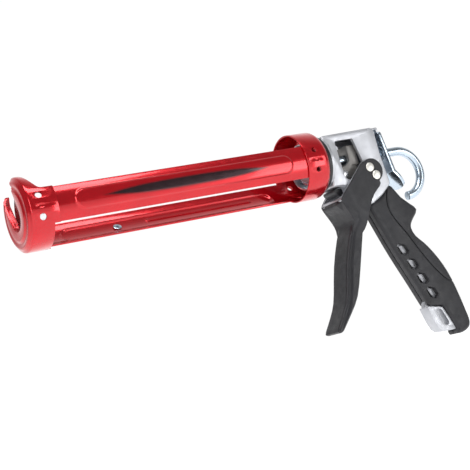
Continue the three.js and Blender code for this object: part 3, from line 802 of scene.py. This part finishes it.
nose_cap()
rear_ring()
rail("near_rail", striped_red)
rail("lower_rail", red_enamel)
piercing_pin()
piercer_rivet()
swivel()
rod_piece()
plunger_piece()
eased("frame", "die_cast_frame", cast_metal, 0.35)
eased("trigger_core", "trigger_casting", cast_metal, 0.3)
eased("release_plate", "thumb_plate", bright_zinc, 0.35)
eased("grip_block", "feed_block", sintered, 0.3)
eased("drive_link", "feed_link", sintered, 0.3)
eased("link_pin", "feed_pin", turned_steel, 0.2)
eased("swivel_nut", "hex_nut", bright_zinc, 0.3)
eased("plunger_nut", "lock_nut", bright_zinc, 0.25)
eased("trigger_stop", "stop_pad", black_plastic, 0.4)
headed_pin("trigger_pin", "pivot_rivet", PIVOT, 2.6)
headed_pin("drive_pin", "drive_rivet", DRIVE_PIN, 2.4)
springs()
grips()
trigger_cover()

# ---- floor, light and camera ----

FLOOR_DROP = 0.12
FLOOR_GLOW = 0.72
ROOM_GLOW = 0.22
BACKDROP_GLOW = 1.02


def plain(name, colour, roughness):
    made = bpy.data.materials.new(name)
    made.use_nodes = True
    shader = made.node_tree.nodes["Principled BSDF"]
    shader.inputs["Base Color"].default_value = (*colour, 1)
    shader.inputs["Roughness"].default_value = roughness
    shader.inputs["Emission Color"].default_value = (1, 1, 1, 1)
    shader.inputs["Emission Strength"].default_value = FLOOR_GLOW
    return made


def stage():
    """A pale floor, and a room that is bright behind the gun and dim in front of it."""
    low = Vector(cad_bounds[0])
    bm = bmesh.new()
    bmesh.ops.create_grid(bm, x_segments=1, y_segments=1, size=30)
    mesh = bpy.data.meshes.new("floor")
    bm.to_mesh(mesh)
    bm.free()
    floor = bpy.data.objects.new("floor", mesh)
    floor.location.z = low.z - FLOOR_DROP
    floor.data.materials.append(plain("floor_paint", (0.9, 0.9, 0.9), 0.9))
    bpy.context.scene.collection.objects.link(floor)
    world = bpy.data.worlds.new("studio")
    world.use_nodes = True
    tree = world.node_tree
    backdrop = tree.nodes["Background"]
    backdrop.inputs["Color"].default_value = (1, 1, 1, 1)
    place = tree.nodes.new("ShaderNodeTexCoord")
    towards = tree.nodes.new("ShaderNodeVectorMath")
    towards.operation = "DOT_PRODUCT"
    towards.inputs[1].default_value = -view_axes()[2]
    tree.links.new(place.outputs["Generated"], towards.inputs[0])
    glow = remap(tree, towards.outputs["Value"], ROOM_GLOW, BACKDROP_GLOW, 0.1, 0.8)
    tree.links.new(glow, backdrop.inputs["Strength"])
    bpy.context.scene.world = world


CENTRE = (Vector(cad_bounds[0]) + Vector(cad_bounds[1])) / 2
VIEW_AZIMUTH = math.radians(150.5)
VIEW_ELEVATION = math.radians(-5.7)
VIEW_ROLL = math.radians(14.4)
VIEW_DISTANCE = 1.0081
VIEW_OFFSET = (0.04706, 0.05578)
FOCAL_LENGTH = 5.042553  # in half widths of the picture
FIELD_OF_VIEW = 2 * math.atan(1 / FOCAL_LENGTH)


def view_axes():
    back = Vector((
        math.sin(VIEW_AZIMUTH) * math.cos(VIEW_ELEVATION),
        -math.cos(VIEW_AZIMUTH) * math.cos(VIEW_ELEVATION),
        math.sin(VIEW_ELEVATION),
    ))
    level = Vector((math.cos(VIEW_AZIMUTH), math.sin(VIEW_AZIMUTH), 0))
    up = back.cross(level)
    right = level * math.cos(VIEW_ROLL) - up * math.sin(VIEW_ROLL)
    return right, level * math.sin(VIEW_ROLL) + up * math.cos(VIEW_ROLL), back


def camera():
    right, up, back = view_axes()
    data = bpy.data.cameras.new("camera")
    data.angle = FIELD_OF_VIEW
    data.clip_end = 100
    made = bpy.data.objects.new("camera", data)
    target = Vector((RING_FRONT, 0, 0))
    place = target + back * VIEW_DISTANCE - right * VIEW_OFFSET[0] - up * VIEW_OFFSET[1]
    made.matrix_world = Matrix.Translation(place) @ Matrix((right, up, back)).transposed().to_4x4()
    bpy.context.scene.collection.objects.link(made)
    bpy.context.scene.camera = made


def soft_light(name, direction, distance, size, power):
    right, up, back = view_axes()
    towards = right * direction[0] + up * direction[1] + back * direction[2]
    data = bpy.data.lights.new(name, "AREA")
    data.shape = "RECTANGLE"
    data.size, data.size_y = size
    data.energy = power
    made = bpy.data.objects.new(name, data)
    made.location = CENTRE + towards.normalized() * distance
    made.rotation_euler = towards.to_track_quat("Z", "Y").to_euler()
    bpy.context.scene.collection.objects.link(made)


stage()
camera()
# Blender's default transform turns the red enamel coral and the blacks grey.
bpy.context.scene.view_settings.view_transform = "Standard"
soft_light("key", (-0.2, 1.0, 0.35), 1.1, (1.3, 0.3), 9)
soft_light("front", (-0.6, 0.25, 1.0), 1.6, (0.45, 0.9), 6)
soft_light("side", (1.0, 0.2, 0.45), 1.3, (0.3, 0.9), 4)
soft_light("low", (-0.2, -1.0, 0.5), 1.2, (1.2, 0.2), 1.5)
